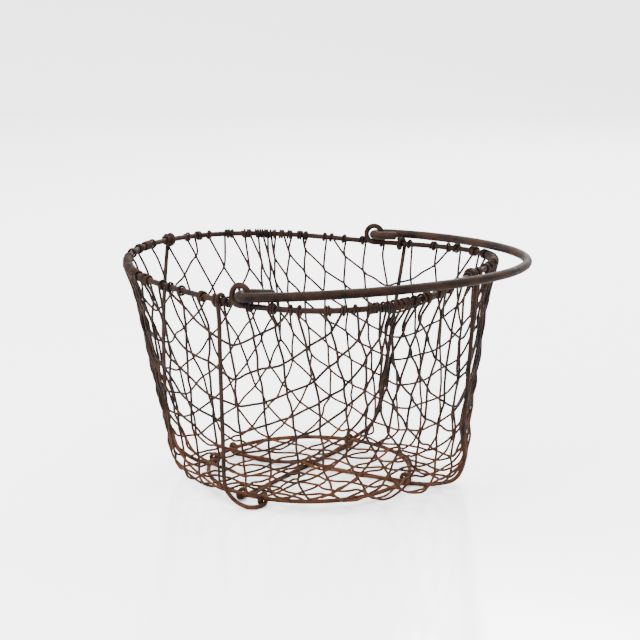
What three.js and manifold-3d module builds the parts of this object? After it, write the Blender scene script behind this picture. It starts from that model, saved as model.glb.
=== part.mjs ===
// A hand-carried gathering basket of woven iron wire with a swinging bail.
// Millimetres, +Z up. The origin is on the floor, under the crossing of the two floor bars.
import * as THREE from 'three';
import { mergeVertices } from 'three/addons/utils/BufferGeometryUtils.js';
import Module from 'manifold-3d';

const wasm = await Module();
wasm.setup();

// Wire thicknesses
const RIM_WIRE = 4.5;
const BAIL_WIRE = 7.2;
const RIB_WIRE = 3.5;
const RING_WIRE = 3.6;
const TIE_WIRE = 1.6;
const MESH_WIRE = 2.0;
const GAP = 0.35;

// The rim, bent by hand, so it is not quite round or level
const RIM_CENTRE = [4, -13];
const RIM_RADIUS = 152.4;
const RIM_HEIGHT = 179.8;
const RIM_LOBES = [[2, 8.5, -65], [3, 7.5, 28], [4, 6.9, 15]];
const RIM_WAVES = [[1, 2.0, -115], [2, 2.8, -21]];
const RIM_STEP = 4;

const RIM_DENT_ANGLE = 181;
const RIM_DENT_WIDTH = 16;
const RIM_DENT_DEPTH = 3.2;

// The rim's two ends meet under a winding of thin wire, and another one sits further back
const RIM_SEAM = 182;
const SEAM_GAP = 0.15;
const BINDINGS = { rim_seam_binding: [RIM_SEAM, 8], rim_back_binding: [153.5, 6] };
const BINDING_PITCH = TIE_WIRE + 0.3;
const BINDING_SLACK = 1.15;
const COIL_STEPS = 10;

// One-turn eyes bent in the rim for the bail
const EYE_FRONT = 252;
const EYE_BACK = 65.5;
const EYE_RADIUS = 7.1;
const EYE_OFFSET = 2.6;
const EYE_EASE = 7;
const EYE_STEPS = 14;

// Where the wall of woven wire turns into the floor
const FOOT_CENTRE = [13, -16];
const FOOT_RADIUS = 114;
const FOOT_LOBE = 10;
const FOOT_LOBE_ANGLE = -5;
const FOOT_HEIGHT = 30;
const CORNER_DEPTH = 26;
const FLOOR_HEIGHT = 9.8;
const MESH_THICKNESS = 2 * MESH_WIRE;

// The ring that the woven floor rests on; it lies on the floor bars
const RING_CENTRE = [5, -12];
const RING_RADIUS = 84.5;
const WINDING_RADIUS = (RING_WIRE + RIB_WIRE) / 2 + 0.3;
const WINDING_PITCH = RIB_WIRE + 0.6;
const WINDING_STEP = 30;

// The bail: an arch in a plane through both eyes, tilted up to clear the rim it lies on
const BAIL_TILT = 2.7;
const BAIL_REACH = 173;
const BAIL_POWER = 1.5;
const BAIL_STEPS = 36;
const HOOK_RADIUS = 8.2;
const HOOK_INSET = 7.9;
const HOOK_TAIL = 14;
const HOOK_STEPS = 8;
const HINGE_DROP = 0.35;

// The four ribs. Each is wound on the rim, runs down outside the wall to its foot, bends in through
// these points and is wound on the ring; two of them run on across the floor and are wound on it again.
// A winding is the ring's angle where it starts, then its first and last angle round the ring's wire.
const BAR_HEIGHT = RIB_WIRE / 2;
const RING_HEIGHT = BAR_HEIGHT + WINDING_RADIUS;
const CROSSING_HEIGHT = BAR_HEIGHT + RIB_WIRE + 0.5;
const RIBS = {
  rib_front_left: {
    top: 245.1, foot: 230, wind: -1,
    bend: [[-59.8, -101, 18.5], [-56.2, -97.6, 10.6], [-51.8, -96.2, 5.4], [-47, -96.8, 2.6],
      [-42, -98.6, BAR_HEIGHT], [-36.5, -98.5, BAR_HEIGHT], [-31.8, -94, BAR_HEIGHT]],
    winding: [246, -90, -480],
  },
  rib_back_left: {
    top: 139, foot: 172, wind: 1,
    bend: [[-110, 8.5, 20.8], [-98, 12.5, 7.4], [-87.5, 12.2, 2.6]],
    winding: [164.5, -90, -480],
  },
  rib_back_right: {
    top: 54.2, foot: 60.3, wind: 1,
    bend: [[62.8, 80.2, 19.7], [56.8, 77.5, 12.6], [49.9, 77.9, 7], [43, 75.5, 3]],
    winding: [67, -90, -450],
    bar: [[15, 23.4, BAR_HEIGHT], [-15, -23.4, BAR_HEIGHT], [-34, -53, BAR_HEIGHT]],
    ending: [229.7, -90, 200],
  },
  rib_right: {
    top: 336, foot: 335, wind: -1,
    bend: [[130.3, -62.4, 27.6], [123.6, -54.4, 9.8], [108, -46.6, 2.8], [94, -43, 1.9]],
    winding: [341.5, -90, -450],
    bar: [[71.8, -32.1, BAR_HEIGHT], [53, -20.5, BAR_HEIGHT], [25, -5.5, BAR_HEIGHT + 0.3],
      [1.3, 2.1, CROSSING_HEIGHT], [-16, 10, BAR_HEIGHT + 1.2], [-36, 20, BAR_HEIGHT],
      [-50, 31.5, BAR_HEIGHT]],
    ending: [140.5, -90, 200],
  },
};
const WALL_STANDOFF = MESH_THICKNESS / 2 + RIB_WIRE / 2 + GAP;
const WALL_FIRST_RISE = 0.04;
const WALL_LAST_RISE = 0.9;
const WALL_RISE_STEP = 0.15;
const RIB_STEP = 7;
const RIM_WRAP_TURNS = 1.25;
const RIM_WRAP_STEPS = 15;
const RIM_WRAP_START = -20;
const RIM_WRAP_SLACK = 0.48;

// The curl of thin wire on the upper floor bar, beside the crossing
const BAR_TIE_PLACE = 6;
const BAR_TIE_TURNS = 2.5;
const BAR_TIE_SLACK = 0.85;

// The steepest slope that still counts as level
const NEARLY_LEVEL = 0.1;

const UP = new THREE.Vector3(0, 0, 1);
const radians = THREE.MathUtils.degToRad;

// The stand-in panels of woven wire: their grids, and the room they leave for the rim and the ribs
const WALL_COLUMNS = 9;
const WALL_ROWS = 8;
const CORNER_ROWS = 3;
const CORNER_TURN = radians(72);
const WALL_TOP = 0.955;
const RIB_MARGIN = 2.2;
const FLOOR_EDGE = CORNER_DEPTH - CORNER_DEPTH * Math.cos(CORNER_TURN) + 2.2;
const FLOOR_STEP = 10;

const IRON = { color: 0x3b2a24, roughness: 0.75, metalness: 0.55 };
const RUST = { color: 0x8a4a28, roughness: 0.9, metalness: 0.2 };
const WOVEN = { color: 0x5a3a2a, roughness: 0.85, metalness: 0.35 };

function ease(distance, length) {
  return THREE.MathUtils.smoothstep(1 - Math.abs(distance) / length, 0, 1);
}

// The rim's centre line at an angle in degrees, pushed outwards by an offset
function rimPoint(angle, offset = 0, lift = 0) {
  let radius = RIM_RADIUS + offset;
  let height = RIM_HEIGHT + lift;
  for (const [count, size, direction] of RIM_LOBES) {
    radius += size * Math.cos(count * radians(angle - direction));
  }
  for (const [count, size, direction] of RIM_WAVES) {
    height += size * Math.cos(count * radians(angle - direction));
  }
  const fromDent = THREE.MathUtils.euclideanModulo(angle - RIM_DENT_ANGLE + 180, 360) - 180;
  radius -= RIM_DENT_DEPTH * Math.exp(-((fromDent / RIM_DENT_WIDTH) ** 2));
  const x = RIM_CENTRE[0] + radius * Math.cos(radians(angle));
  const y = RIM_CENTRE[1] + radius * Math.sin(radians(angle));
  return new THREE.Vector3(x, y, height);
}

function rimTangent(angle) {
  return rimPoint(angle + 0.5).sub(rimPoint(angle - 0.5)).normalize();
}

function rimOutward(angle) {
  return rimTangent(angle).cross(UP).normalize();
}

// The woven wire's middle surface: straight walls above FOOT_HEIGHT, then a round corner
function footPoint(angle, offset = 0) {
  const lobe = FOOT_LOBE * Math.cos(2 * radians(angle - FOOT_LOBE_ANGLE));
  const radius = FOOT_RADIUS + lobe + offset;
  const x = FOOT_CENTRE[0] + radius * Math.cos(radians(angle));
  const y = FOOT_CENTRE[1] + radius * Math.sin(radians(angle));
  return new THREE.Vector3(x, y, FOOT_HEIGHT);
}

function wallPoint(angle, rise, offset = 0) {
  return footPoint(angle, offset).lerp(rimPoint(angle, offset), rise);
}

function cornerPoint(angle, turn, offset = 0) {
  const depth = CORNER_DEPTH - (CORNER_DEPTH + offset) * Math.cos(turn);
  const point = footPoint(angle, -depth);
  point.z = FOOT_HEIGHT - (FOOT_HEIGHT - FLOOR_HEIGHT + offset) * Math.sin(turn);
  return point;
}

// A closed tube with flat facets, carried along a list of points without twisting. Where it runs almost
// level its lowest facet is turned exactly level, so that the floor bars rest flat.
function sweep(path, thickness, sides = 6) {
  const corner = thickness / 2 / Math.cos(Math.PI / sides);
  const last = path.length - 1;
  const facet = 2 * Math.PI / sides;
  const vertices = [];
  const faces = [];
  let normal = UP.clone();
  path.forEach((point, i) => {
    const before = path[Math.max(i - 1, 0)];
    const after = path[Math.min(i + 1, last)];
    const tangent = after.clone().sub(before).normalize();
    normal = normal.sub(tangent.clone().multiplyScalar(normal.dot(tangent))).normalize();
    if (Math.abs(tangent.z) < NEARLY_LEVEL) {
      const level = UP.clone().addScaledVector(tangent, -tangent.z).normalize();
      const beside = tangent.clone().cross(level);
      const roll = Math.atan2(normal.dot(beside), normal.dot(level));
      const levelRoll = Math.round(roll / facet) * facet;
      normal = level.multiplyScalar(Math.cos(levelRoll)).addScaledVector(beside, Math.sin(levelRoll));
    }
    const side = tangent.clone().cross(normal);
    for (let k = 0; k < sides; k++) {
      const turn = facet * (k + 0.5);
      const spoke = normal.clone().multiplyScalar(Math.cos(turn));
      spoke.addScaledVector(side, Math.sin(turn));
      vertices.push(...point.clone().addScaledVector(spoke, corner).toArray());
    }
  });
  for (let i = 0; i < last; i++) {
    for (let k = 0; k < sides; k++) {
      const a = i * sides + k;
      const b = i * sides + (k + 1) % sides;
      faces.push(a, b, b + sides, a, b + sides, a + sides);
    }
  }
  for (let k = 1; k < sides - 1; k++) {
    faces.push(0, k + 1, k);
    faces.push(last * sides, last * sides + k, last * sides + k + 1);
  }
  return solidGeometry(vertices, faces);
}

function solidGeometry(vertices, faces) {
  const geometry = new THREE.BufferGeometry();
  geometry.setAttribute('position', new THREE.Float32BufferAttribute(vertices, 3));
  geometry.setIndex(faces);
  return geometry;
}

function smooth(points, step) {
  const curve = new THREE.CatmullRomCurve3(points, false, 'centripetal');
  return curve.getSpacedPoints(Math.round(curve.getLength() / step));
}

// A coil round a straight axis; the radius is that of its wire's centre
function coil(centre, along, across, radius, turns, pitch) {
  const rise = across.clone().cross(along).normalize();
  const points = [];
  for (let i = 0; i <= turns * COIL_STEPS; i++) {
    const turn = 2 * Math.PI * i / COIL_STEPS;
    const point = centre.clone().addScaledVector(along, pitch * (i / COIL_STEPS - turns / 2));
    point.addScaledVector(across, radius * Math.cos(turn));
    points.push(point.addScaledVector(rise, radius * Math.sin(turn)));
  }
  return points;
}

// Sideways shift of the rim wire that makes room for its own eyes
function rimOffset(angle) {
  let offset = 0;
  for (const eye of [EYE_FRONT, EYE_BACK + 360]) {
    const distance = angle - eye;
    if (Math.abs(distance) < EYE_EASE) offset += Math.sign(distance) * EYE_OFFSET * ease(distance, EYE_EASE);
  }
  return offset;
}

function eyeLoop(angle) {
  const bottom = rimPoint(angle);
  const points = [];
  for (let i = 0; i <= EYE_STEPS; i++) {
    const turn = 2 * Math.PI * i / EYE_STEPS;
    const point = bottom.clone().addScaledVector(rimTangent(angle), EYE_RADIUS * Math.sin(turn));
    point.addScaledVector(UP, EYE_RADIUS * (1 - Math.cos(turn)));
    points.push(point.addScaledVector(rimOutward(angle), EYE_OFFSET * (2 * i / EYE_STEPS - 1)));
  }
  return points;
}

function rimPath() {
  const eyes = [EYE_FRONT, EYE_BACK + 360];
  const steps = Math.round(360 / RIM_STEP);
  const points = [];
  for (let i = 0; i <= steps; i++) {
    const angle = THREE.MathUtils.lerp(RIM_SEAM + SEAM_GAP / 2, RIM_SEAM + 360 - SEAM_GAP / 2, i / steps);
    const nearEye = [EYE_FRONT, EYE_BACK + 360].some((eye) => Math.abs(angle - eye) < RIM_STEP / 2);
    if (angle > eyes[0] - RIM_STEP / 2) points.push(...eyeLoop(eyes.shift()));
    if (!nearEye) points.push(rimPoint(angle, rimOffset(angle)));
  }
  return points;
}

// The end of a rib, wound round the rim
function rimWrap(rib) {
  const radius = (RIM_WIRE + RIB_WIRE) / 2 + RIM_WRAP_SLACK;
  const along = rimTangent(rib.top).multiplyScalar(rib.wind);
  const outward = rimOutward(rib.top);
  const points = [];
  for (let i = 0; i <= RIM_WRAP_STEPS; i++) {
    const turns = RIM_WRAP_TURNS * i / RIM_WRAP_STEPS;
    const turn = radians(RIM_WRAP_START + 360 * turns);
    const point = rimPoint(rib.top).addScaledVector(along, WINDING_PITCH * turns);
    point.addScaledVector(outward, radius * Math.cos(turn));
    points.push(point.addScaledVector(UP, radius * Math.sin(turn)));
  }
  return points;
}

// A rib wound round the ring, moving along it with every turn
function ringWinding([angle, first, last]) {
  const steps = Math.round(Math.abs(last - first) / WINDING_STEP);
  const points = [];
  for (let i = 0; i <= steps; i++) {
    const turn = THREE.MathUtils.lerp(first, last, i / steps);
    const drift = WINDING_PITCH * (turn - first) / 360 / RING_RADIUS;
    const reach = RING_RADIUS + WINDING_RADIUS * Math.cos(radians(turn));
    const x = RING_CENTRE[0] + reach * Math.cos(radians(angle) + drift);
    const y = RING_CENTRE[1] + reach * Math.sin(radians(angle) + drift);
    points.push(new THREE.Vector3(x, y, RING_HEIGHT + WINDING_RADIUS * Math.sin(radians(turn))));
  }
  return points;
}

// Each rib from its last end on the ring to the rim
function ribPath(rib) {
  const wall = [];
  for (let rise = WALL_LAST_RISE; rise > WALL_FIRST_RISE; rise -= WALL_RISE_STEP) {
    wall.push(wallPoint(THREE.MathUtils.lerp(rib.foot, rib.top, rise), rise, WALL_STANDOFF));
  }
  const vectors = (list) => list.map((xyz) => new THREE.Vector3(...xyz));
  const winding = ringWinding(rib.winding);
  const wire = [...rimWrap(rib).reverse(), ...smooth([...wall, ...vectors(rib.bend), winding[0]], RIB_STEP),
    ...winding.slice(1)];
  if (rib.bar) {
    const ending = ringWinding(rib.ending);
    const bar = smooth([winding.at(-1), ...vectors(rib.bar), ending[0]], RIB_STEP);
    wire.push(...bar.slice(1), ...ending.slice(1));
  }
  for (const point of wire) point.z = Math.max(point.z, BAR_HEIGHT);
  return wire.reverse();
}

// The hinge line runs through both eyes, a little below their middles where the bail hangs
const hingeFront = rimPoint(EYE_FRONT, 0, EYE_RADIUS - HINGE_DROP);
const hingeBack = rimPoint(EYE_BACK, 0, EYE_RADIUS - HINGE_DROP);
const hingeAxis = hingeBack.clone().sub(hingeFront).normalize();

function bailPath() {
  const span = hingeFront.distanceTo(hingeBack);
  const flat = hingeAxis.clone().cross(UP).normalize();
  const reach = flat.applyAxisAngle(hingeAxis, -radians(BAIL_TILT));
  const place = (along, out) => hingeFront.clone().addScaledVector(hingeAxis, along).addScaledVector(reach, out);
  const points = [];
  for (let i = 1; i < BAIL_STEPS; i++) {
    const turn = Math.PI * i / BAIL_STEPS;
    const along = span / 2 - (span / 2 + HOOK_RADIUS) * Math.cos(turn);
    points.push(place(along, HOOK_INSET + (BAIL_REACH - HOOK_INSET) * Math.sin(turn) ** BAIL_POWER));
  }
  const hook = [];
  for (let i = 0; i <= HOOK_STEPS; i++) {
    const turn = Math.PI * i / HOOK_STEPS;
    hook.push([HOOK_RADIUS * Math.cos(turn), HOOK_INSET - HOOK_RADIUS * Math.sin(turn)]);
  }
  const tail = [[HOOK_RADIUS, HOOK_INSET + HOOK_TAIL], [HOOK_RADIUS, HOOK_INSET + HOOK_TAIL / 2]];
  const front = [...tail, ...hook].map(([along, out]) => place(along, out));
  const back = [...tail, ...hook].map(([along, out]) => place(span - along, out)).reverse();
  return [...front, ...points, ...back];
}

function toManifold(geometry) {
  const bare = new THREE.BufferGeometry();
  bare.setAttribute('position', geometry.getAttribute('position'));
  if (geometry.index) bare.setIndex(geometry.index);
  const merged = mergeVertices(bare, 1e-4);
  const vertProperties = new Float32Array(merged.getAttribute('position').array);
  const triVerts = new Uint32Array(merged.index.array);
  return new wasm.Manifold(new wasm.Mesh({ numProp: 3, vertProperties, triVerts }));
}

function fromManifold(solid) {
  const mesh = solid.getMesh();
  return solidGeometry(Array.from(mesh.vertProperties), Array.from(mesh.triVerts));
}

// A thin closed shell over a grid of points; place(u, v, offset) gives each side's points
function shell(place, columns, rows) {
  const vertices = [];
  const faces = [];
  const width = rows + 1;
  const layer = (columns + 1) * width;
  for (const offset of [MESH_THICKNESS / 2, -MESH_THICKNESS / 2]) {
    for (let i = 0; i <= columns; i++) {
      for (let j = 0; j <= rows; j++) vertices.push(...place(i / columns, j / rows, offset).toArray());
    }
  }
  const quad = (a, b, c, d) => faces.push(a, b, c, a, c, d);
  for (let i = 0; i < columns; i++) {
    for (let j = 0; j < rows; j++) {
      const a = i * width + j;
      quad(a, a + width, a + width + 1, a + 1);
      quad(layer + a, layer + a + 1, layer + a + width + 1, layer + a + width);
    }
    const low = i * width;
    const high = low + rows;
    quad(low, layer + low, layer + low + width, low + width);
    quad(high, high + width, layer + high + width, layer + high);
  }
  for (let j = 0; j < rows; j++) {
    const end = columns * width + j;
    quad(j, j + 1, layer + j + 1, layer + j);
    quad(end, layer + end, layer + end + 1, end + 1);
  }
  return solidGeometry(vertices, faces);
}

// One stretch of woven wall between two ribs, from the floor's edge up to the rim
function wallPanel(from, to) {
  const place = (u, v, offset) => {
    const row = v * WALL_ROWS;
    const rise = Math.max(0, (row - CORNER_ROWS) / (WALL_ROWS - CORNER_ROWS)) * WALL_TOP;
    const start = THREE.MathUtils.lerp(from.foot, from.top, rise) + RIB_MARGIN;
    const end = THREE.MathUtils.lerp(to.foot, to.top, rise) - RIB_MARGIN;
    const span = end < start ? end + 360 : end;
    const angle = THREE.MathUtils.lerp(start, span, u);
    if (row < CORNER_ROWS) return cornerPoint(angle, CORNER_TURN * (1 - row / CORNER_ROWS), offset);
    return wallPoint(angle, rise, offset);
  };
  return shell(place, WALL_COLUMNS, WALL_ROWS);
}

function floorPanel() {
  const outline = new THREE.Shape();
  for (let angle = 0; angle < 360; angle += FLOOR_STEP) {
    const point = footPoint(angle, -FLOOR_EDGE);
    if (angle === 0) outline.moveTo(point.x, point.y);
    else outline.lineTo(point.x, point.y);
  }
  outline.closePath();
  const plate = new THREE.ExtrudeGeometry(outline, { depth: MESH_THICKNESS, bevelEnabled: false });
  return plate.translate(0, 0, FLOOR_HEIGHT - MESH_THICKNESS / 2);
}

const basket = new THREE.Group();
function addPiece(name, geometry, finish) {
  geometry.computeVertexNormals();
  const piece = new THREE.Mesh(geometry, new THREE.MeshStandardMaterial(finish));
  piece.name = name;
  basket.add(piece);
}

// Every wire, with the clearance that the woven wire keeps from it
const clearances = [];
function addWire(name, path, thickness, sides, finish) {
  addPiece(name, sweep(path, thickness, sides), finish);
  clearances.push(toManifold(sweep(path, thickness + 2 * GAP, sides)));
}

addWire('rim_wire', rimPath(), RIM_WIRE, 8, IRON);
for (const [name, [angle, turns]] of Object.entries(BINDINGS)) {
  const radius = (RIM_WIRE + TIE_WIRE) / 2 + BINDING_SLACK;
  const path = coil(rimPoint(angle), rimTangent(angle), rimOutward(angle), radius, turns, BINDING_PITCH);
  addWire(name, path, TIE_WIRE, 6, IRON);
}

const ring = new THREE.TorusGeometry(RING_RADIUS, RING_WIRE / 2, 8, 48);
addPiece('base_ring', ring.translate(...RING_CENTRE, RING_HEIGHT), RUST);
const ringClearance = new THREE.TorusGeometry(RING_RADIUS, RING_WIRE / 2 + GAP, 8, 48);
clearances.push(toManifold(ringClearance.translate(...RING_CENTRE, RING_HEIGHT)));

for (const [name, rib] of Object.entries(RIBS)) {
  addWire(name, ribPath(rib), RIB_WIRE, 8, IRON);
}

// A curl of thin wire wound on the upper floor bar beside the crossing
const crossing = new THREE.Vector3(...RIBS.rib_right.bar[3]);
const barBeyond = new THREE.Vector3(...RIBS.rib_right.bar[2]);
const barAlong = barBeyond.sub(crossing).normalize();
const tieCentre = crossing.clone().addScaledVector(barAlong, BAR_TIE_PLACE);
const tieAcross = barAlong.clone().cross(UP).normalize();
const tieRadius = (RIB_WIRE + TIE_WIRE) / 2 + BAR_TIE_SLACK;
const tiePath = coil(tieCentre, barAlong, tieAcross, tieRadius, BAR_TIE_TURNS, TIE_WIRE + 0.4);
addWire('floor_bar_tie', tiePath, TIE_WIRE, 6, RUST);

addPiece('bail', sweep(bailPath(), BAIL_WIRE, 10), IRON);

// The woven wire, as plain stretches of its true outer shape
const clearance = wasm.Manifold.union(clearances);
const walls = [
  ['woven_wall_front', RIBS.rib_front_left, RIBS.rib_right],
  ['woven_wall_right', RIBS.rib_right, RIBS.rib_back_right],
  ['woven_wall_back', RIBS.rib_back_right, RIBS.rib_back_left],
  ['woven_wall_left', RIBS.rib_back_left, RIBS.rib_front_left],
];
for (const [name, from, to] of walls) {
  addPiece(name, fromManifold(toManifold(wallPanel(from, to)).subtract(clearance)), WOVEN);
}
addPiece('woven_floor', fromManifold(toManifold(floorPanel()).subtract(clearance)), WOVEN);

export default basket;
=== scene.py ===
"""Looks for the woven wire gathering basket: each frame wire of the CAD model made more finely,
and the woven wires made one by one."""

import math
import random
from math import radians

import bpy
from mathutils import Matrix, Vector, noise


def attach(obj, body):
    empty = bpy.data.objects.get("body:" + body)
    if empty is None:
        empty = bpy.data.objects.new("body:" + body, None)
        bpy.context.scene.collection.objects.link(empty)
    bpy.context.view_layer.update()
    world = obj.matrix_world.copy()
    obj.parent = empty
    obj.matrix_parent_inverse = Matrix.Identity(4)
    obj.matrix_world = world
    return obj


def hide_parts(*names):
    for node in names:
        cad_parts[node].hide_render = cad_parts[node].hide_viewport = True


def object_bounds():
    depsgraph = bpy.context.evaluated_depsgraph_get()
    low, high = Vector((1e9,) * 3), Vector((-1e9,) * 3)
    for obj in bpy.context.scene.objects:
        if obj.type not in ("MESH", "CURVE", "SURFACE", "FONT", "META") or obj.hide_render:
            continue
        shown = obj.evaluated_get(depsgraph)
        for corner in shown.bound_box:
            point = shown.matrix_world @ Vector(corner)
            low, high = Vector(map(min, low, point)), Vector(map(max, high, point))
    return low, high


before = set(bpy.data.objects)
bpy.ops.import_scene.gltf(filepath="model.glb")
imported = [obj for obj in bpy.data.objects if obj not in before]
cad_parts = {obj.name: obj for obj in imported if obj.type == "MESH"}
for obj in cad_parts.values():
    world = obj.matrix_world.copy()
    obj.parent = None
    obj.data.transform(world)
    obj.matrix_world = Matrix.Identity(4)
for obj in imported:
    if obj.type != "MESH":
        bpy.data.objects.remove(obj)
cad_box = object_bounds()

UP = Vector((0, 0, 1))
MM = 0.001

# Wire thicknesses, in millimetres like every other size here
RIM_WIRE = 4.5
BAIL_WIRE = 7.2
RIB_WIRE = 3.5
RING_WIRE = 3.6
TIE_WIRE = 1.6
MESH_WIRE = 2.0
GAP = 0.35

# How a wire is drawn: the distance between its points, its cut ends as shares of its radius, and the noise
# that makes it uneven
RIM_STEP = 2.0
RIB_STEP = 2.5
WOVEN_STEP = 2.2
RING_POINTS = 180
CUT_LENGTH = 0.35
CUT_RADIUS = 0.72
LUMPS_PER_MM = 0.12
LUMPS_AROUND = 1.3
FINE_LUMP_SIZE = 0.6
FINE_LUMP_SCALE = 2.7
SEEDS_APART = 17.3

# The rim and its eyes: the CAD model's driving dimensions, with angles in degrees. A lobe or wave is how often
# it repeats, its size and its direction; a binding is its angle and its number of turns.
RIM_CENTRE = (4, -13)
RIM_RADIUS = 152.4
RIM_HEIGHT = 179.8
RIM_LOBES = ((2, 8.5, -65), (3, 7.5, 28), (4, 6.9, 15))
RIM_WAVES = ((1, 2.0, -115), (2, 2.8, -21))
RIM_DENT_ANGLE = 181
RIM_DENT_WIDTH = 16
RIM_DENT_DEPTH = 3.2
RIM_SEAM = 182
SEAM_GAP = 0.15
BINDINGS = {"rim_seam_binding": (RIM_SEAM, 8), "rim_back_binding": (153.5, 6)}
EYE_FRONT = 252
EYE_BACK = 65.5
EYE_RADIUS = 7.1
EYE_OFFSET = 2.6
EYE_EASE = 7
EYE_CLEARING = 0.6

# The woven wire's middle surface: straight walls, a round corner and a flat floor
FOOT_CENTRE = (13, -16)
FOOT_RADIUS = 114
FOOT_LOBE = 10
FOOT_LOBE_ANGLE = -5
FOOT_HEIGHT = 30
CORNER_DEPTH = 26
FLOOR_HEIGHT = 6.2
CORNER_LENGTH = math.pi / 2 * (CORNER_DEPTH + FOOT_HEIGHT - FLOOR_HEIGHT) / 2

# The base ring, the ribs wound on it, the bindings on the rim, and the tie round the floor bars
RING_CENTRE = (5, -12)
RING_RADIUS = 84.5
WINDING_RADIUS = (RING_WIRE + RIB_WIRE) / 2 + 0.3
WINDING_PITCH = RIB_WIRE + 0.6
BINDING_RADIUS = (RIM_WIRE + TIE_WIRE) / 2 + 0.2
BINDING_PITCH = TIE_WIRE + 0.15
TIE_RADIUS = (RIB_WIRE + TIE_WIRE) / 2 + GAP + 0.3
TIE_PITCH = TIE_WIRE + 0.4
TIE_TURNS = 2.5
TIE_SHIFT = 6

# The bail: an arch with a hook bent at each end through an eye
BAIL_TILT = 2.7
BAIL_REACH = 173
BAIL_POWER = 1.5
HOOK_RADIUS = 8.2
HOOK_INSET = 7.9
HOOK_TAIL = 14
ARCH_STEPS = 150
HOOK_STEPS = 24
HINGE_DROP = 0.35

# Heights above the studio floor, which is a small gap below the feet
FLOOR_GAP = 0.2
BAR_HEIGHT = RIB_WIRE / 2
RING_HEIGHT = BAR_HEIGHT + WINDING_RADIUS
CROSSING = (1.3, 2.1, BAR_HEIGHT + RIB_WIRE + 0.5)

# The four ribs: their bends below the wall, the bars under the floor, and their windings on the ring
# (the ring's angle, then the first and last angle round the ring's wire)
RIBS = {
    "rib_front_left": dict(
        top=245.1, foot=230, wind=-1, winding=(246, -90, -480),
        bend=((-59.8, -101, 18.5), (-56.2, -97.6, 10.6), (-51.8, -96.2, 5.4), (-47, -96.8, 2.6),
              (-42, -98.6, BAR_HEIGHT), (-36.5, -98.5, BAR_HEIGHT), (-31.8, -94, BAR_HEIGHT))),
    "rib_back_left": dict(
        top=139, foot=172, wind=1, winding=(164.5, -90, -480),
        bend=((-110, 8.5, 20.8), (-98, 12.5, 7.4), (-87.5, 12.2, 2.6))),
    "rib_back_right": dict(
        top=54.2, foot=60.3, wind=1, winding=(67, -90, -450), ending=(229.7, -90, 200),
        bend=((62.8, 80.2, 19.7), (56.8, 77.5, 12.6), (49.9, 77.9, 7), (43, 75.5, 3)),
        bar=((15, 23.4, BAR_HEIGHT), (-15, -23.4, BAR_HEIGHT), (-34, -53, BAR_HEIGHT))),
    "rib_right": dict(
        top=336, foot=335, wind=-1, winding=(341.5, -90, -450), ending=(140.5, -90, 200),
        bend=((130.3, -62.4, 27.6), (123.6, -54.4, 9.8), (108, -46.6, 2.8), (94, -43, 1.9)),
        bar=((71.8, -32.1, BAR_HEIGHT), (53, -20.5, BAR_HEIGHT), (25, -5.5, BAR_HEIGHT + 0.3), CROSSING,
             (-16, 10, BAR_HEIGHT + 1.2), (-36, 20, BAR_HEIGHT), (-50, 31.5, BAR_HEIGHT))),
}

# A rib stands off the wall outside the woven wire, and its top end is wound round the rim from WRAP_START,
# in degrees from straight outwards
WALL_STANDOFF = MESH_WIRE + RIB_WIRE / 2 + GAP
WALL_RISES = (0.9, 0.75, 0.6, 0.45, 0.3, 0.15)
RIM_WRAP_TURNS = 1.25
RIM_WRAP_STEPS = 30
WRAP_START = -20

# The weave: its two middle wires climb the walls along four arms (angle at the foot, angle at the rim, and
# the widths of the cells from the middle outwards). Away from the arms the cells are larger.
WEAVE_PITCHES = (20,) * 8 + (21, 25, 31) + (34,) * 4
BACK_PITCHES = (21.1,) * 8 + (20, 21, 25, 30) + (34,) * 3
CORNER_STRETCH = 1.27
STRETCH_CELLS = 8
WEAVE_ARMS = {
    (1, 0): (332, 332, WEAVE_PITCHES),
    (0, 1): (48.7, 63, BACK_PITCHES),
    (-1, 0): (152, 160, WEAVE_PITCHES),
    (0, -1): (237, 247, WEAVE_PITCHES),
}
WIRES_EACH_SIDE = 11
CRIMP = MESH_WIRE / 2 + 0.03

# How uneven it is: crossings stray by WOBBLE on the walls and FLOOR_WOBBLE times that on the floor, the walls
# bulge inwards, and a wire sways and lifts about halfway between two crossings
WOBBLE = 0.75
FLOOR_WOBBLE = 1.5
WOBBLE_HEIGHT = 60
BULGE = 1.6
BULGE_HEIGHT = 40
BULGE_START = 0.4
FLOOR_SWAY = 1.4
WALL_SWAY = 0.7
SWAY_HEIGHT = 50
SWAY_AT = (0.4, 0.6)
SWAY_LIFT = (-0.3, 0.5)

# Two wires that cross at a small angle run side by side for a little way
PINCH_REACH = 2.2
PINCH_SHARE = 0.75
PINCH_FROM = 0.35
PINCH_RANGE = 0.5

# The woven wires' ends on the rim: distances in millimetres, turns in degrees
END_ZONE = 13
LAST_CROSSING = 6
WRAP_RADIUS = RIM_WIRE / 2 + MESH_WIRE / 2 + 0.08
WRAP_PITCH = MESH_WIRE + 0.1
WRAP_TURN = (350, 420)
EXTRA_TURNS = (0, 0, 180, 360)
WRAP_STEP = 15
WRAP_APPROACH = 3
TAIL_LENGTH = (0.4, 1.6)
TAIL_OUT = 0.25
TAIL_DOWN = 0.1

# Room that the ends leave along the rim, in degrees
WRAP_SPACING = 1.4
EYE_ROOM = 3.3
RIB_ROOM = 2.3
BINDING_ROOM = 0.5
RIM_MM_PER_DEGREE = 2.6
SPACING_ROUNDS = 200


def smoothstep(x):
    x = min(max(x, 0), 1)
    return x * x * (3 - 2 * x)


def mix(a, b, share):
    return a + (b - a) * share


# ---------------------------------------------------------------- the CAD model's curves


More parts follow.
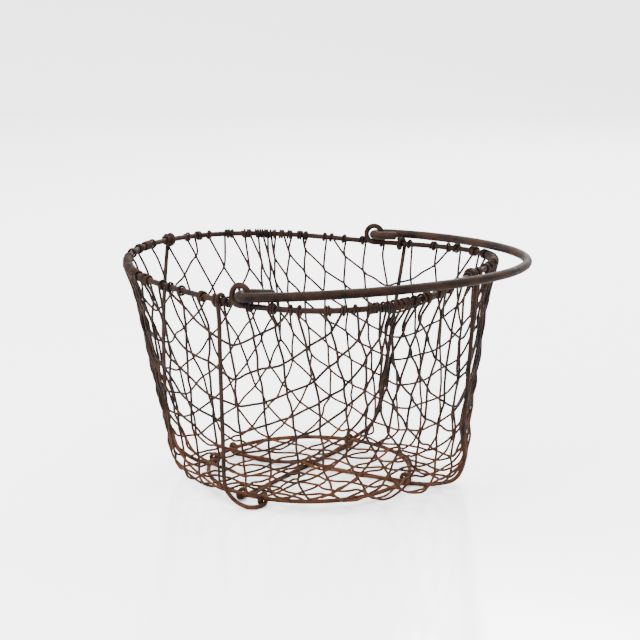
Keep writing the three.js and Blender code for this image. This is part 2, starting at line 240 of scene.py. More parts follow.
def rim_point(angle, offset=0, lift=0):
    radius = RIM_RADIUS + offset
    height = RIM_HEIGHT + lift
    for count, size, direction in RIM_LOBES:
        radius += size * math.cos(count * radians(angle - direction))
    for count, size, direction in RIM_WAVES:
        height += size * math.cos(count * radians(angle - direction))
    from_dent = (angle - RIM_DENT_ANGLE + 180) % 360 - 180
    radius -= RIM_DENT_DEPTH * math.exp(-((from_dent / RIM_DENT_WIDTH) ** 2))
    x = RIM_CENTRE[0] + radius * math.cos(radians(angle))
    y = RIM_CENTRE[1] + radius * math.sin(radians(angle))
    return Vector((x, y, height))


def rim_tangent(angle):
    return (rim_point(angle + 0.5) - rim_point(angle - 0.5)).normalized()


def rim_outward(angle):
    return rim_tangent(angle).cross(UP).normalized()


def foot_radius(angle):
    return FOOT_RADIUS + FOOT_LOBE * math.cos(2 * radians(angle - FOOT_LOBE_ANGLE))


def foot_point(angle, offset=0, height=FOOT_HEIGHT):
    radius = foot_radius(angle) + offset
    x = FOOT_CENTRE[0] + radius * math.cos(radians(angle))
    y = FOOT_CENTRE[1] + radius * math.sin(radians(angle))
    return Vector((x, y, height))


def wall_point(angle, rise, offset=0):
    """A point on the straight wall, whose rise is 0 at the foot and 1 at the rim."""
    return foot_point(angle, offset).lerp(rim_point(angle, offset), rise)


def ease(distance, length):
    """1 at no distance, falling smoothly to 0 at the length."""
    return smoothstep(1 - abs(distance) / length)


def rim_offset(angle):
    """Sideways shift of the rim wire that makes room for its own eyes."""
    offset = 0
    for eye in (EYE_FRONT, EYE_BACK + 360):
        distance = angle - eye
        if abs(distance) < EYE_EASE:
            offset += math.copysign(EYE_OFFSET, distance) * ease(distance, EYE_EASE)
    return offset


def eye_loop(angle, steps=40):
    """One turn of the rim wire standing on the rim."""
    bottom = rim_point(angle)
    points = []
    for i in range(steps + 1):
        turn = 2 * math.pi * i / steps
        point = bottom + rim_tangent(angle) * EYE_RADIUS * math.sin(turn)
        point += UP * EYE_RADIUS * (1 - math.cos(turn))
        points.append(point + rim_outward(angle) * EYE_OFFSET * (2 * i / steps - 1))
    return points


def rim_path(count=360):
    """The rim wire from one end at the seam to the other, with both eyes."""
    eyes = [EYE_FRONT, EYE_BACK + 360]
    points = []
    for i in range(count + 1):
        angle = mix(RIM_SEAM + SEAM_GAP / 2, RIM_SEAM + 360 - SEAM_GAP / 2, i / count)
        if eyes and angle > eyes[0]:
            points += eye_loop(eyes.pop(0))
        if all(abs(angle - eye) > EYE_CLEARING for eye in (EYE_FRONT, EYE_BACK + 360)):
            points.append(rim_point(angle, rim_offset(angle)))
    return points


def smooth(points, step):
    """A centripetal Catmull-Rom curve through the points, with points about a step apart."""
    ends = [points[0] * 2 - points[1], *points, points[-1] * 2 - points[-2]]
    fine = []
    for p0, p1, p2, p3 in zip(ends, ends[1:], ends[2:], ends[3:]):
        t1 = (p1 - p0).length ** 0.5 + 1e-9
        t2 = t1 + (p2 - p1).length ** 0.5 + 1e-9
        t3 = t2 + (p3 - p2).length ** 0.5 + 1e-9
        count = max(1, round((p2 - p1).length / step))
        for i in range(count):
            t = mix(t1, t2, i / count)
            a1 = p0 * ((t1 - t) / t1) + p1 * (t / t1)
            a2 = p1 * ((t2 - t) / (t2 - t1)) + p2 * ((t - t1) / (t2 - t1))
            a3 = p2 * ((t3 - t) / (t3 - t2)) + p3 * ((t - t2) / (t3 - t2))
            b1 = a1 * ((t2 - t) / t2) + a2 * (t / t2)
            b2 = a2 * ((t3 - t) / (t3 - t1)) + a3 * ((t - t1) / (t3 - t1))
            fine.append(b1 * ((t2 - t) / (t2 - t1)) + b2 * ((t - t1) / (t2 - t1)))
    fine.append(points[-1].copy())
    return fine


def coil(centre, along, across, radius, turns, pitch, steps=24):
    """A wire wound round a straight line, moving one pitch along it with every turn."""
    rise = across.cross(along).normalized()
    points = []
    for i in range(round(turns * steps) + 1):
        turn = 2 * math.pi * i / steps
        point = centre + along * pitch * (i / steps - turns / 2)
        points.append(point + (across * math.cos(turn) + rise * math.sin(turn)) * radius)
    return points


def ring_winding(angle, first, last, step=15):
    """A rib wound round the ring, moving along it with every turn."""
    steps = round(abs(last - first) / step)
    points = []
    for i in range(steps + 1):
        turn = mix(first, last, i / steps)
        drift = WINDING_PITCH * (turn - first) / 360 / RING_RADIUS
        reach = RING_RADIUS + WINDING_RADIUS * math.cos(radians(turn))
        x = RING_CENTRE[0] + reach * math.cos(radians(angle) + drift)
        y = RING_CENTRE[1] + reach * math.sin(radians(angle) + drift)
        points.append(Vector((x, y, RING_HEIGHT + WINDING_RADIUS * math.sin(radians(turn)))))
    return points


def rim_wrap(rib):
    """The top of a rib, wound round the rim from outside over the top."""
    radius = (RIM_WIRE + RIB_WIRE) / 2 + GAP
    along = rim_tangent(rib["top"]) * rib["wind"]
    outward = rim_outward(rib["top"])
    points = []
    for i in range(RIM_WRAP_STEPS + 1):
        share = RIM_WRAP_TURNS * i / RIM_WRAP_STEPS
        turn = radians(WRAP_START + 360 * share)
        point = rim_point(rib["top"]) + along * WINDING_PITCH * share
        points.append(point + outward * radius * math.cos(turn) + UP * radius * math.sin(turn))
    return points


def rib_path(rib):
    """A rib from its end on the rim down the wall and round the ring, then across the floor if it has a bar."""
    wall = [wall_point(mix(rib["foot"], rib["top"], rise), rise, WALL_STANDOFF) for rise in WALL_RISES]
    wrap = rim_wrap(rib)
    bend = [Vector(point) for point in rib["bend"]]
    winding = ring_winding(*rib["winding"])
    wire = wrap[:0:-1] + smooth(wrap[:1] + wall + bend + winding[:1], RIB_STEP) + winding[1:]
    if "bar" in rib:
        bar = [Vector(point) for point in rib["bar"]]
        ending = ring_winding(*rib["ending"])
        wire += smooth(winding[-1:] + bar + ending[:1], RIB_STEP)[1:] + ending[1:]
    for point in wire:
        point.z = max(point.z, BAR_HEIGHT)
    return wire


hinge_front = rim_point(EYE_FRONT, 0, EYE_RADIUS - HINGE_DROP)
hinge_back = rim_point(EYE_BACK, 0, EYE_RADIUS - HINGE_DROP)
hinge_line = (hinge_back - hinge_front).normalized()


def bail_path():
    """The bail from the front hook's tail over the arch to the back hook's tail."""
    span = (hinge_back - hinge_front).length
    flat = hinge_line.cross(UP).normalized()
    reach = Matrix.Rotation(-radians(BAIL_TILT), 3, hinge_line) @ flat

    def position(along, out):
        return hinge_front + hinge_line * along + reach * out

    arch = []
    for i in range(1, ARCH_STEPS):
        turn = math.pi * i / ARCH_STEPS
        along = span / 2 - (span / 2 + HOOK_RADIUS) * math.cos(turn)
        arch.append(position(along, HOOK_INSET + (BAIL_REACH - HOOK_INSET) * math.sin(turn) ** BAIL_POWER))
    tail = HOOK_STEPS // 2
    hook = [(HOOK_RADIUS, HOOK_INSET + HOOK_TAIL - HOOK_TAIL * i / tail) for i in range(tail)]
    for i in range(HOOK_STEPS + 1):
        turn = math.pi * i / HOOK_STEPS
        hook.append((HOOK_RADIUS * math.cos(turn), HOOK_INSET - HOOK_RADIUS * math.sin(turn)))
    front = [position(along, out) for along, out in hook]
    back = [position(span - along, out) for along, out in reversed(hook)]
    return front + arch + back


# ---------------------------------------------------------------- tubes


def tube(name, path, thickness, sides, body="basket", lumps=0.0, seed=0, closed=False):
    """A wire along a path in millimetres, slightly uneven, with its cut ends' edges worn off."""
    count = len(path)
    tangents = []
    for i in range(count):
        after = path[(i + 1) % count] if closed else path[min(i + 1, count - 1)]
        before = path[i - 1] if closed or i else path[0]
        tangents.append((after - before).normalized())
    normal = tangents[0].orthogonal().normalized()
    vertices = []
    rings = []
    length = 0

    def ring(centre, tangent, radius, along):
        side = tangent.cross(normal)
        start = len(vertices)
        for k in range(sides):
            turn = 2 * math.pi * k / sides
            spoke = normal * math.cos(turn) + side * math.sin(turn)
            swell = 0
            if lumps:
                at = Vector((along * LUMPS_PER_MM + seed * SEEDS_APART, LUMPS_AROUND * math.cos(turn),
                             LUMPS_AROUND * math.sin(turn)))
                swell = lumps * (noise.noise(at) + FINE_LUMP_SIZE * noise.noise(at * FINE_LUMP_SCALE))
            vertices.append((centre + spoke * (radius + swell)) * MM)
        rings.append(start)

    radius = thickness / 2
    for i, (point, tangent) in enumerate(zip(path, tangents)):
        normal = (normal - tangent * normal.dot(tangent)).normalized()
        if i:
            length += (point - path[i - 1]).length
        if not closed and i == 0:
            ring(point - tangent * radius * CUT_LENGTH, tangent, radius * CUT_RADIUS, length)
        ring(point, tangent, radius, length)
        if not closed and i == count - 1:
            ring(point + tangent * radius * CUT_LENGTH, tangent, radius * CUT_RADIUS, length)
    faces = []
    pairs = list(zip(rings, rings[1:]))
    if closed:
        pairs.append((rings[-1], rings[0]))
    for a, b in pairs:
        for k in range(sides):
            k2 = (k + 1) % sides
            faces.append((a + k, a + k2, b + k2, b + k))
    if not closed:
        faces.append(tuple(rings[0] + k for k in reversed(range(sides))))
        faces.append(tuple(rings[-1] + k for k in range(sides)))
    mesh = bpy.data.meshes.new(name)
    mesh.from_pydata([tuple(v) for v in vertices], [], faces)
    mesh.shade_smooth()
    piece = bpy.data.objects.new(name, mesh)
    bpy.context.scene.collection.objects.link(piece)
    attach(piece, body)
    return piece


# ---------------------------------------------------------------- materials


def iron(name, dark, mid, rust, low, high, rust_low, rust_high, grain=900, bump=0.35):
    """Old iron wire: dark scale, brown patches and orange rust, whose share runs from rust_low at the height
    low to rust_high at the height high. Heights are in metres."""
    material = bpy.data.materials.new(name)
    material.use_nodes = True
    nodes = material.node_tree.nodes
    links = material.node_tree.links
    shader = nodes["Principled BSDF"]
    shader.inputs["Metallic"].default_value = 0.0
    position = nodes.new("ShaderNodeTexCoord").outputs["Object"]
    split = nodes.new("ShaderNodeSeparateXYZ")
    links.new(position, split.inputs[0])

    def noise_at(scale, detail, roughness=0.6):
        node = nodes.new("ShaderNodeTexNoise")
        node.inputs["Scale"].default_value = scale
        node.inputs["Detail"].default_value = detail
        node.inputs["Roughness"].default_value = roughness
        links.new(position, node.inputs["Vector"])
        return node.outputs["Fac"]

    def ramp(value, low_stop, high_stop, low_out=0.0, high_out=1.0):
        node = nodes.new("ShaderNodeMapRange")
        node.inputs["From Min"].default_value = low_stop
        node.inputs["From Max"].default_value = high_stop
        node.inputs["To Min"].default_value = low_out
        node.inputs["To Max"].default_value = high_out
        links.new(value, node.inputs["Value"])
        return node.outputs["Result"]

    def blend(share, a, b):
        node = nodes.new("ShaderNodeMix")
        node.data_type = "RGBA"
        links.new(share, node.inputs["Factor"])
        for socket, colour in ((node.inputs["A"], a), (node.inputs["B"], b)):
            if isinstance(colour, tuple):
                socket.default_value = (*colour, 1)
            else:
                links.new(colour, socket)
        return node.outputs["Result"]

    def maths(operation, a, b):
        node = nodes.new("ShaderNodeMath")
        node.operation = operation
        links.new(a, node.inputs[0])
        if isinstance(b, (int, float)):
            node.inputs[1].default_value = b
        else:
            links.new(b, node.inputs[1])
        return node.outputs[0]

    # Patches a few centimetres across, specks of some millimetres and a fine grain, from the noise's scales
    patches = noise_at(45, 4)
    specks = noise_at(grain * 0.35, 5, 0.7)
    fine = noise_at(grain, 3, 0.7)
    brown = blend(ramp(patches, 0.38, 0.66), dark, mid)
    # Rust where patches and specks are both strong, and everywhere a little near the floor
    height_share = ramp(split.outputs["Z"], low, high, rust_low, rust_high)
    rusty = maths("MULTIPLY", ramp(maths("ADD", patches, specks), 0.82, 1.25), height_share)
    rusty = maths("ADD", rusty, ramp(split.outputs["Z"], low, high, rust_low * 0.2, 0.0))
    colour = blend(ramp(rusty, 0, 1), brown, rust)
    # The grain's peaks are worn paler, and rust is rougher than scale
    colour = blend(ramp(fine, 0.56, 0.82, 0, 0.55), colour, tuple(min(1, c * 1.9) for c in mid))
    links.new(colour, shader.inputs["Base Color"])
    links.new(ramp(maths("ADD", specks, rusty), 0.3, 1.3, 0.48, 0.92), shader.inputs["Roughness"])
    shader.inputs["Specular IOR Level"].default_value = 0.06
    dents = nodes.new("ShaderNodeBump")
    dents.inputs["Strength"].default_value = bump
    dents.inputs["Distance"].default_value = 0.0006
    links.new(maths("ADD", specks, fine), dents.inputs["Height"])
    links.new(dents.outputs["Normal"], shader.inputs["Normal"])
    return material


rim_iron = iron("rim_iron", (0.0012, 0.0008, 0.0007), (0.0085, 0.0038, 0.0028), (0.045, 0.017, 0.0085),
                low=0.15, high=0.2, rust_low=0.3, rust_high=0.3)
bail_iron = iron("bail_iron", (0.0013, 0.0008, 0.0006), (0.009, 0.0042, 0.003), (0.042, 0.016, 0.0075),
                 low=0.15, high=0.2, rust_low=0.3, rust_high=0.3, grain=700, bump=0.6)
rib_iron = iron("rib_iron", (0.0025, 0.0014, 0.0011), (0.0125, 0.006, 0.0045), (0.055, 0.02, 0.0085),
                low=0.0, high=0.06, rust_low=0.75, rust_high=0.25)
ring_iron = iron("ring_iron", (0.004, 0.002, 0.0012), (0.018, 0.008, 0.0045), (0.065, 0.0235, 0.0095),
                 low=0.0, high=0.03, rust_low=0.9, rust_high=0.7)
woven_iron = iron("woven_iron", (0.0022, 0.0014, 0.0013), (0.0095, 0.0047, 0.0037), (0.065, 0.0225, 0.0085),
                  low=0.0, high=0.08, rust_low=0.9, rust_high=0.2, grain=1300)


def paint(piece, material):
    piece.data.materials.append(material)


# ---------------------------------------------------------------- the frame's wires

rim = tube("rim", smooth(rim_path(), RIM_STEP), RIM_WIRE, sides=16, lumps=0.05, seed=1)
paint(rim, rim_iron)
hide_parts("rim_wire")

for number, (node, (angle, turns)) in enumerate(BINDINGS.items()):
    path = coil(rim_point(angle), rim_tangent(angle), rim_outward(angle), BINDING_RADIUS, turns, BINDING_PITCH)
    binding = tube(node + "_wire", path, TIE_WIRE, sides=8, lumps=0.06, seed=20 + number)
    paint(binding, woven_iron)
    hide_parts(node)

ring_path = []
for i in range(RING_POINTS):
    turn = 2 * math.pi * i / RING_POINTS
    ring_path.append(Vector((RING_CENTRE[0] + RING_RADIUS * math.cos(turn),
                             RING_CENTRE[1] + RING_RADIUS * math.sin(turn), RING_HEIGHT)))
ring = tube("ring", ring_path, RING_WIRE, sides=14, lumps=0.08, seed=3, closed=True)
paint(ring, ring_iron)
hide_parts("base_ring")

for number, (node, rib) in enumerate(RIBS.items()):
    wire = tube(node + "_wire", rib_path(rib), RIB_WIRE, sides=14, lumps=0.05, seed=5 + number)
    paint(wire, rib_iron)
    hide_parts(node)

bail = tube("bail_arch", bail_path(), BAIL_WIRE, sides=24, body="bail", lumps=0.12, seed=11)
paint(bail, bail_iron)
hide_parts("bail")

crossing = Vector(CROSSING)
bar_along = (Vector(RIBS["rib_right"]["bar"][2]) - crossing).normalized()
bar_across = bar_along.cross(UP).normalized()
tie_path = coil(crossing + bar_along * TIE_SHIFT, bar_along, bar_across, TIE_RADIUS, TIE_TURNS, TIE_PITCH)
tie = tube("floor_bar_tie_wire", tie_path, TIE_WIRE, sides=8, seed=12)
paint(tie, ring_iron)
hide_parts("floor_bar_tie")

# ---------------------------------------------------------------- the woven wire

# What pushes the woven floor up, by how much and how far round
MESH_LIFT = MESH_WIRE + 0.1
RING_RISE = RING_HEIGHT + RING_WIRE / 2 + MESH_LIFT - FLOOR_HEIGHT
CROSSING_RISE = CROSSING[2] + RIB_WIRE / 2 + MESH_LIFT - FLOOR_HEIGHT
WINDING_RISE = RIB_WIRE + 0.1
RING_SPREAD = 12
CROSSING_SPREAD = 14
WINDING_SPREAD = 9
windings = []
for rib in RIBS.values():
    for key in ("winding", "ending"):
        if key in rib:
            turns = ring_winding(*rib[key])
            windings.append(turns[len(turns) // 2])


def floor_rise(point):
    """How far the woven floor is pushed up by the ring, by the ribs wound on it and by the bars' crossing."""
    off_ring = (point.xy - Vector(RING_CENTRE)).length - RING_RADIUS
    rise = RING_RISE * math.exp(-((off_ring / RING_SPREAD) ** 2))
    rise += CROSSING_RISE * math.exp(-(((point.xy - crossing.xy).length / CROSSING_SPREAD) ** 2))
    for winding in windings:
        rise += WINDING_RISE * math.exp(-(((point.xy - winding.xy).length / WINDING_SPREAD) ** 2))
    return rise


def sheet_point(u, v):
    """A point of the basket's middle surface at (u, v), a flat map whose distance from its centre is measured
    along the floor, round the corner and up the wall."""
    reach = math.hypot(u, v)
    angle = math.degrees(math.atan2(v, u))
    floor_reach = foot_radius(angle) - CORNER_DEPTH
    if reach <= floor_reach:
        point = foot_point(angle, reach - foot_radius(angle), FLOOR_HEIGHT)
        return point + UP * floor_rise(point)
    if reach <= floor_reach + CORNER_LENGTH:
        turn = (reach - floor_reach) / CORNER_LENGTH * math.pi / 2
        inwards = CORNER_DEPTH * (1 - math.sin(turn))
        height = FOOT_HEIGHT - (FOOT_HEIGHT - FLOOR_HEIGHT) * math.cos(turn)
        point = foot_point(angle, -inwards, height)
        return point + UP * floor_rise(point) * math.cos(turn)
    climb = reach - floor_reach - CORNER_LENGTH
    wall = rim_point(angle) - foot_point(angle)
    return foot_point(angle) + wall * (climb / wall.length)


def rim_reach(angle):
    """How far along the map the rim is at an angle."""
    wall = rim_point(angle) - foot_point(angle)
    return foot_radius(angle) - CORNER_DEPTH + CORNER_LENGTH + wall.length


def angle_of(node):
    return math.degrees(math.atan2(node[1], node[0]))


def outside(node):
    """Whether a node of the map is past the rim."""
    return math.hypot(*node) >= rim_reach(angle_of(node))


def arm_node(arm, reach):
    """The node of the map at a distance from its middle along one of the four arms."""
    foot, top, _ = WEAVE_ARMS[arm]
    start = foot_radius(foot) - CORNER_DEPTH + CORNER_LENGTH / 2
    angle = radians(mix(foot, top, max(0, (reach - start) / (rim_reach(foot) - start))))
    return (reach * math.cos(angle), reach * math.sin(angle))


def along_arm(arm, start, pitch):
    """The reach on an arm, one pitch further on than start."""
    origin = sheet_point(*arm_node(arm, start))
    reach = start + pitch
    for _ in range(6):
        reach += pitch - (sheet_point(*arm_node(arm, reach)) - origin).length
    return reach


def next_crossing(a, b, c, pitch_a, pitch_b):
    """Where the next cell of the weave closes: pitch_a from crossing a and pitch_b from b, opposite c.
    Newton's method, with each move kept short."""
    u, v = a[0] + b[0] - c[0], a[1] + b[1] - c[1]
    point_a, point_b = sheet_point(*a), sheet_point(*b)
    step = 0.01
    longest_move = 6
    for _ in range(30):
        here = sheet_point(u, v)
        miss_a = (here - point_a).length - pitch_a
        miss_b = (here - point_b).length - pitch_b
        if abs(miss_a) + abs(miss_b) < 1e-4:
            return (u, v)
        along_u, along_v = sheet_point(u + step, v), sheet_point(u, v + step)
        ja_u = ((along_u - point_a).length - pitch_a - miss_a) / step
        ja_v = ((along_v - point_a).length - pitch_a - miss_a) / step
        jb_u = ((along_u - point_b).length - pitch_b - miss_b) / step
        jb_v = ((along_v - point_b).length - pitch_b - miss_b) / step
        area = ja_u * jb_v - ja_v * jb_u
        if abs(area) < 1e-6:
            return None
        du = (miss_a * jb_v - miss_b * ja_v) / area
        dv = (ja_u * miss_b - jb_u * miss_a) / area
        scale = min(1, longest_move / max(math.hypot(du, dv), 1e-9))
        u, v = u - du * scale, v - dv * scale
    return None


def weave():
    """Crossings (i, j) of the draped weave: i counts along the first middle wire and j along the second."""
    crossings = {(0, 0): (0.0, 0.0)}
    for arm, (_, _, pitches) in WEAVE_ARMS.items():
        reach = 0
        for k, pitch in enumerate(pitches):
            reach = along_arm(arm, reach, pitch)
            node = arm_node(arm, reach)
            crossings[(arm[0] * (k + 1), arm[1] * (k + 1))] = node
            if outside(node):
                break
    for si in (1, -1):
        for sj in (1, -1):
            for i in range(1, len(WEAVE_PITCHES)):
                for j in range(1, len(WEAVE_PITCHES)):
                    a = crossings.get((si * (i - 1), sj * j))
                    b = crossings.get((si * i, sj * (j - 1)))
                    c = crossings.get((si * (i - 1), sj * (j - 1)))
                    if not (a and b and c) or (outside(a) and outside(b)) or outside(c):
                        continue
                    pitch_a = WEAVE_ARMS[(si, 0)][2][i - 1] * mix(1, CORNER_STRETCH, min(1, j / STRETCH_CELLS))
                    pitch_b = WEAVE_ARMS[(0, sj)][2][j - 1] * mix(1, CORNER_STRETCH, min(1, i / STRETCH_CELLS))
                    node = next_crossing(a, b, c, pitch_a, pitch_b)
                    if node:
                        crossings[(si * i, sj * j)] = node
    return crossings


crossings = weave()
draw = random.Random(7)
wobbles = {}
bulges = {}
for key in sorted(crossings):
    height = sheet_point(*crossings[key]).z
    size = WOBBLE * mix(FLOOR_WOBBLE, 1.0, smoothstep(height / WOBBLE_HEIGHT))
    wobbles[key] = (draw.gauss(0, size), draw.gauss(0, size))
    bulges[key] = draw.uniform(0, BULGE) * smoothstep(height / BULGE_HEIGHT - BULGE_START)


def node_at(key):
    """A crossing's node of the map, with its wobble."""
    u, v = crossings[key]
    return (u + wobbles[key][0], v + wobbles[key][1])


def inner_normal(u, v):
    """Up on the floor, and towards the inside on the walls."""
    step = 0.2
    across = sheet_point(u + step, v) - sheet_point(u - step, v)
    along = sheet_point(u, v + step) - sheet_point(u, v - step)
    return across.cross(along).normalized()


def below_rim(node):
    """How far a node of the map is from the rim."""
    return rim_reach(angle_of(node)) - math.hypot(*node)


def place(node, offset=0):
    """The point of a woven wire at a node of the map. Near the rim it moves outwards, past the rim wire."""
    shift = WRAP_RADIUS * smoothstep(1 - below_rim(node) / END_ZONE)
    return sheet_point(*node) + inner_normal(*node) * (offset - shift)


def towards(a, b, share):
    return (mix(a[0], b[0], share), mix(a[1], b[1], share))


def end_node(inside_node, outside_node):
    """Where a wire between two nodes comes within the last crossing's distance of the rim."""
    low, high = 0.0, 1.0
    for _ in range(30):
        middle = (low + high) / 2
        if below_rim(towards(inside_node, outside_node, middle)) > LAST_CROSSING:
            low = middle
        else:
            high = middle
    return towards(inside_node, outside_node, low)


class Wire:
    """One woven wire: its crossings in order, and an end on the rim at each side."""

    def __init__(self, family, number):
        self.family = family
        self.number = number
        most = len(WEAVE_PITCHES)
        keys = [(number, k) if family == "a" else (k, number) for k in range(-most, most + 1)]
        keys = [key for key in keys if key in crossings]
        kept = [key for key in keys if below_rim(node_at(key)) > LAST_CROSSING]
        first, last = keys.index(kept[0]), keys.index(kept[-1])
        self.keys = keys[first:last + 1]
        before = node_at(keys[first - 1]) if first > 0 else self.beyond(kept[0], kept[1])
        after = node_at(keys[last + 1]) if last + 1 < len(keys) else self.beyond(kept[-1], kept[-2])
        ends = [end_node(node_at(kept[0]), before), end_node(node_at(kept[-1]), after)]
        self.end_angles = [angle_of(node) % 360 for node in ends]

    def beyond(self, key, before):
        """A node well past the rim, straight on from the last two crossings."""
        a, b = node_at(key), node_at(before)
        return (a[0] * 4 - b[0] * 3, a[1] * 4 - b[1] * 3)

    def is_crossing(self, key):
        """Whether both wires of a crossing exist."""
        return abs(key[0]) <= WIRES_EACH_SIDE and abs(key[1]) <= WIRES_EACH_SIDE


wires = []
for family in ("a", "b"):
    for number in range(-WIRES_EACH_SIDE, WIRES_EACH_SIDE + 1):
        wires.append(Wire(family, number))

# The ends share the rim: none in a bail's eye, on a rib's wrap or on a binding, and none on each other
no_ends = [(EYE_FRONT, EYE_ROOM), (EYE_BACK, EYE_ROOM)]
no_ends += [(rib["top"], RIB_ROOM) for rib in RIBS.values()]
for angle, turns in BINDINGS.values():
    no_ends.append((angle, turns * TIE_WIRE / 2 / RIM_MM_PER_DEGREE + BINDING_ROOM))
ends = [(wire.end_angles[side], wire, side) for wire in wires for side in (0, 1)]
ends.sort(key=lambda end: end[0])
angles = [end[0] for end in ends]
for _ in range(SPACING_ROUNDS):
    for middle, half in no_ends:
        for i, angle in enumerate(angles):
            away = (angle - middle + 180) % 360 - 180
            original = (ends[i][0] - middle + 180) % 360 - 180
            if abs(away) < half:
                angles[i] = middle + math.copysign(half, original)
    for i in range(len(angles)):
        j = (i + 1) % len(angles)
        gap = (angles[j] - angles[i]) % 360
        if gap > 180:
            gap -= 360
        if gap < WRAP_SPACING:
            push = (WRAP_SPACING - gap) / 2
            angles[i] -= push
            angles[j] += push
for (_, wire, side), angle in zip(ends, angles):
    wire.end_angles[side] = angle % 360


def rim_centre(angle):
    """The middle of the rim wire."""
    return rim_point(angle, rim_offset(angle + 360 if angle < RIM_SEAM else angle))


def wrap_path(angle, arrival, turning, tail):
    """The end of a woven wire: up the outside of the rim and round it by turning degrees, drifting along the
    rim the way it arrives, and a short cut tail."""
    along = rim_tangent(angle)
    outward = rim_outward(angle)
    drift = math.copysign(WRAP_PITCH, arrival.dot(along))
    middle = rim_centre(angle)
    points = []
    steps = round(turning / WRAP_STEP)
    for i in range(steps + 1):
        turn = WRAP_START + turning * i / steps
        point = middle + (outward * math.cos(radians(turn)) + UP * math.sin(radians(turn))) * WRAP_RADIUS
        points.append(point + along * drift * (turning * (i / steps - 0.5)) / 360)
    leave = (points[-1] - points[-2]).normalized()
    for k in (0.5, 1):
        points.append(points[steps] + leave * tail * k + (outward * TAIL_OUT - UP * TAIL_DOWN) * tail * k * k)
    return points


def crossing_direction(wire_family, key):
    """The direction of a family's wire through a crossing."""
    step = (0, 1) if wire_family == "a" else (1, 0)
    after = (key[0] + step[0], key[1] + step[1])
    before = (key[0] - step[0], key[1] - step[1])
    a = node_at(after) if after in crossings else node_at(key)
    b = node_at(before) if before in crossings else node_at(key)
    return (sheet_point(*a) - sheet_point(*b)).normalized()


def woven_path(wire):
    """A woven wire's points: crimped at every crossing, uneven in between, and wrapped at its ends."""
    rand = random.Random(1000 + wire.number + (500 if wire.family == "b" else 0))
    other = "b" if wire.family == "a" else "a"
    controls = []
    last_node = None
    for key in wire.keys:
        node = node_at(key)
        bulge = bulges[key]
        if last_node:
            middle = towards(last_node, node, rand.uniform(*SWAY_AT))
            sway = mix(FLOOR_SWAY, WALL_SWAY, smoothstep(sheet_point(*middle).z / SWAY_HEIGHT))
            middle = (middle[0] + rand.gauss(0, sway), middle[1] + rand.gauss(0, sway))
            controls.append(place(middle, (bulge + last_bulge) / 2 + rand.uniform(*SWAY_LIFT)))
        last_node = node
        last_bulge = bulge
        if not wire.is_crossing(key):
            controls.append(place(node, bulge))
            continue
        over = 1 if (key[0] + key[1]) % 2 == (0 if wire.family == "a" else 1) else -1
        here = place(node, bulge + CRIMP * over)
        mine = crossing_direction(wire.family, key)
        theirs = crossing_direction(other, key)
        alike = mine.dot(theirs)
        bisector = (mine + theirs * math.copysign(1, alike)).normalized()
        pinch = PINCH_SHARE * smoothstep((abs(alike) - PINCH_FROM) / PINCH_RANGE)
        leave = mine.lerp(bisector, pinch).normalized()
        controls += [here - leave * PINCH_REACH, here + leave * PINCH_REACH]
    path = controls
    for side in (0, 1):
        angle = wire.end_angles[side]
        if side == 0:
            path = path[::-1]
        turning = rand.choice(EXTRA_TURNS) + rand.uniform(*WRAP_TURN)
        wrap = wrap_path(angle, path[-1] - path[-2], turning, rand.uniform(*TAIL_LENGTH))
        while (path[-1] - wrap[0]).length < WRAP_APPROACH:
            path.pop()
        path = path + wrap
        if side == 0:
            path = path[::-1]
    return path


for wire in wires:
    name = "woven_wire_%s_%02d" % (wire.family, wire.number + WIRES_EACH_SIDE + 1)
    seed = wire.number + (40 if wire.family == "b" else 80)
    piece = tube(name, smooth(woven_path(wire), WOVEN_STEP), MESH_WIRE, sides=7, lumps=0.05, seed=seed)
    paint(piece, woven_iron)
    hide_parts("woven_wall_front", "woven_wall_left", "woven_wall_back", "woven_wall_right", "woven_floor")

# ---------------------------------------------------------------- floor, light and camera


def plain(name, colour, roughness):
    material = bpy.data.materials.new(name)
    material.use_nodes = True
    shader = material.node_tree.nodes["Principled BSDF"]
    shader.inputs["Base Color"].default_value = (*colour, 1)
    shader.inputs["Roughness"].default_value = roughness
    return material


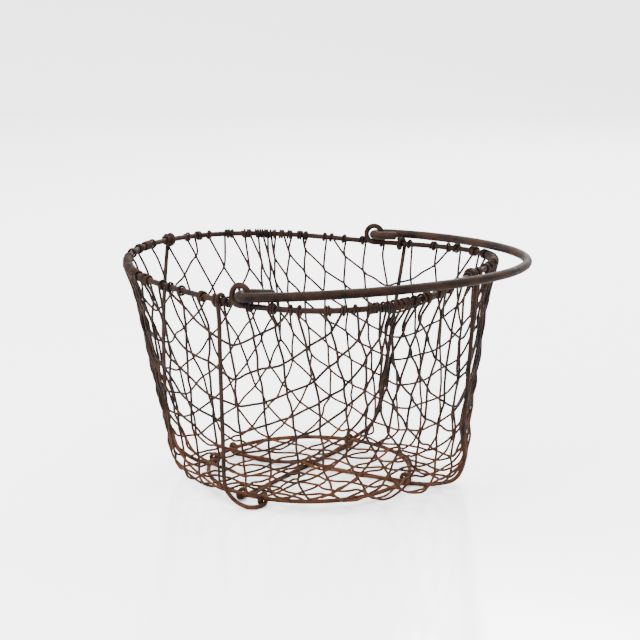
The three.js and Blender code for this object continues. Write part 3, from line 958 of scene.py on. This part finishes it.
def studio():
    """A plain pale sheet, in metres: flat under the basket, then curving up behind it."""
    half_width = 9
    bend_start = 3
    bend_radius = 1.5
    bend_steps = 12
    sheet_top = 7
    profile = [(-6, 0), (0, 0), (bend_start, 0)]
    for step in range(1, bend_steps + 1):
        turn = math.pi / 2 * step / bend_steps
        profile.append((bend_start + bend_radius * math.sin(turn), bend_radius - bend_radius * math.cos(turn)))
    profile.append((bend_start + bend_radius, sheet_top))
    vertices = [(side * half_width, y, z) for y, z in profile for side in (-1, 1)]
    faces = [(2 * i, 2 * i + 1, 2 * i + 3, 2 * i + 2) for i in range(len(profile) - 1)]
    mesh = bpy.data.meshes.new("studio_floor")
    mesh.from_pydata(vertices, [], faces)
    mesh.shade_smooth()
    floor = bpy.data.objects.new("studio_floor", mesh)
    bpy.context.scene.collection.objects.link(floor)
    floor.location.z = cad_box[0][2] - FLOOR_GAP * MM
    mesh.materials.append(plain("pale_floor", (0.86, 0.86, 0.86), 0.14))
    world = bpy.data.worlds.new("studio")
    world.use_nodes = True
    world.node_tree.nodes["Background"].inputs["Color"].default_value = (0.97, 0.97, 0.98, 1)
    world.node_tree.nodes["Background"].inputs["Strength"].default_value = 4.15
    bpy.context.scene.world = world


def area_light(name, at, aim, size, power):
    light = bpy.data.lights.new(name, "AREA")
    light.shape = "SQUARE"
    light.size = size
    light.energy = power
    lamp = bpy.data.objects.new(name, light)
    lamp.location = at
    lamp.rotation_euler = (Vector(aim) - Vector(at)).to_track_quat("-Z", "Y").to_euler()
    bpy.context.scene.collection.objects.link(lamp)


def camera():
    """In front of the basket and a little above it, with a long lens."""
    lens = bpy.data.cameras.new("camera")
    lens.lens = 87.8
    lens.sensor_width = 36
    eye = bpy.data.objects.new("camera", lens)
    eye.location = (0.0141, -1.262, 0.4272)
    eye.rotation_euler = (radians(76.75), 0, 0)
    bpy.context.scene.collection.objects.link(eye)
    bpy.context.scene.camera = eye


studio()
area_light("key_light", (-1.4, -0.9, 2.0), (0, 0, 0.1), 1.4, 160)
area_light("back_light", (0.8, 1.8, 1.8), (0, 0, 0.1), 1.6, 160)
camera()
